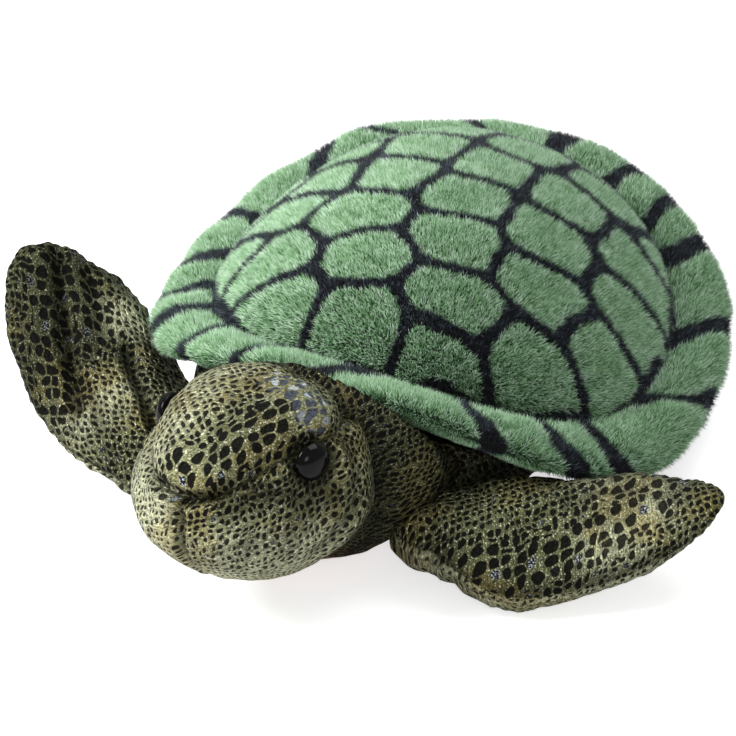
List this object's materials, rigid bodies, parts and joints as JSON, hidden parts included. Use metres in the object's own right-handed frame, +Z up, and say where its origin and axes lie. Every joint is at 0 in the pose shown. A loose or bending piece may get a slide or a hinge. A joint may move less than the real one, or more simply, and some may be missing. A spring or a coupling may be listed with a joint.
{
  "type": "plush sea turtle",
  "caption": "Stuffed sea turtle toy with a padded plush shell, scale-print head, flippers and tail, and glossy safety eyes.",
  "frame": {"origin": "middle of the flat belly where it rests on the floor", "axes": "+Z up, the head points along -Y and the tail along +Y, +X towards the turtle's left"},
  "size_m": [0.246, 0.2832, 0.085],
  "materials": {
    "plush": "short green pile, patterned",
    "scale_cloth": "olive and gold knit with black dots and a metallic print",
    "belly_cloth": "warm tan short knit",
    "lining": "plain woven",
    "fibre": "loose polyester filling",
    "pellets": "bag of beads",
    "eye": "polished black",
    "washer": "moulded"
  },
  "bodies": {
    "torso": {"torso_cloth": "scale_cloth", "belly_panel": "belly_cloth", "torso_filling": "fibre", "pellet_bag": "pellets", "shell_dome_cover": "plush", "shell_filling": "fibre", "shell_base_lining": "lining", "rim_top_panel": "plush", "rim_under_panel": "plush", "rim_wadding": "fibre"},
    "neck": {"neck_cloth": "scale_cloth", "neck_filling": "fibre"},
    "head": {"head_top_gusset": "scale_cloth", "head_side_left": "scale_cloth", "head_side_right": "scale_cloth", "head_filling": "fibre", "eye_left": "eye", "eye_right": "eye", "eye_washer_left": "washer", "eye_washer_right": "washer"},
    "front_left": {"front_left_top_cloth": "scale_cloth", "front_left_under_cloth": "scale_cloth", "front_left_filling": "fibre"},
    "front_right": {"front_right_top_cloth": "scale_cloth", "front_right_under_cloth": "scale_cloth", "front_right_filling": "fibre"},
    "rear_left": {"rear_left_top_cloth": "scale_cloth", "rear_left_under_cloth": "scale_cloth", "rear_left_filling": "fibre"},
    "rear_right": {"rear_right_top_cloth": "scale_cloth", "rear_right_under_cloth": "scale_cloth", "rear_right_filling": "fibre"},
    "tail": {"tail_top_cloth": "scale_cloth", "tail_under_cloth": "scale_cloth", "tail_filling": "fibre"}
  },
  "joints": [
    {"name": "head_nod", "type": "hinge", "parent": "torso", "child": "neck", "pos_m": [-0.01458, -0.11812, 0.038], "axis": [0.9903, -0.1392, 0], "range_deg": [-3, 6], "stiffness_Nm_per_rad": 0.3},
    {"name": "head_turn", "type": "hinge", "parent": "neck", "child": "head", "pos_m": [-0.01458, -0.11812, 0.038], "axis": [0, 0, 1], "range_deg": [-6, 20], "stiffness_Nm_per_rad": 0.15},
    {"name": "front_left_sweep", "type": "hinge", "parent": "torso", "child": "front_left", "pos_m": [0.03235, -0.10755, 0.0159], "axis": [0, 0, 1], "range_deg": [-25, 0], "stiffness_Nm_per_rad": 0.2},
    {"name": "front_right_flap", "type": "hinge", "parent": "torso", "child": "front_right", "pos_m": [-0.06074, -0.09447, 0.0159], "axis": [-0.5339, -0.8091, -0.2456], "range_deg": [-6, 20], "stiffness_Nm_per_rad": 0.25},
    {"name": "rear_left_flap", "type": "hinge", "parent": "torso", "child": "rear_left", "pos_m": [0.04044, 0.065, 0.014], "axis": [0.848, -0.5299, 0], "range_deg": [-6, 15], "stiffness_Nm_per_rad": 0.1},
    {"name": "rear_right_flap", "type": "hinge", "parent": "torso", "child": "rear_right", "pos_m": [-0.02096, 0.07363, 0.014], "axis": [-0.9613, -0.2756, 0], "range_deg": [-15, 6], "stiffness_Nm_per_rad": 0.1},
    {"name": "tail_lift", "type": "hinge", "parent": "torso", "child": "tail", "pos_m": [0.01197, 0.08516, 0.015], "axis": [0.9903, -0.1392, 0], "range_deg": [-6, 18], "stiffness_Nm_per_rad": 0.04}
  ]
}
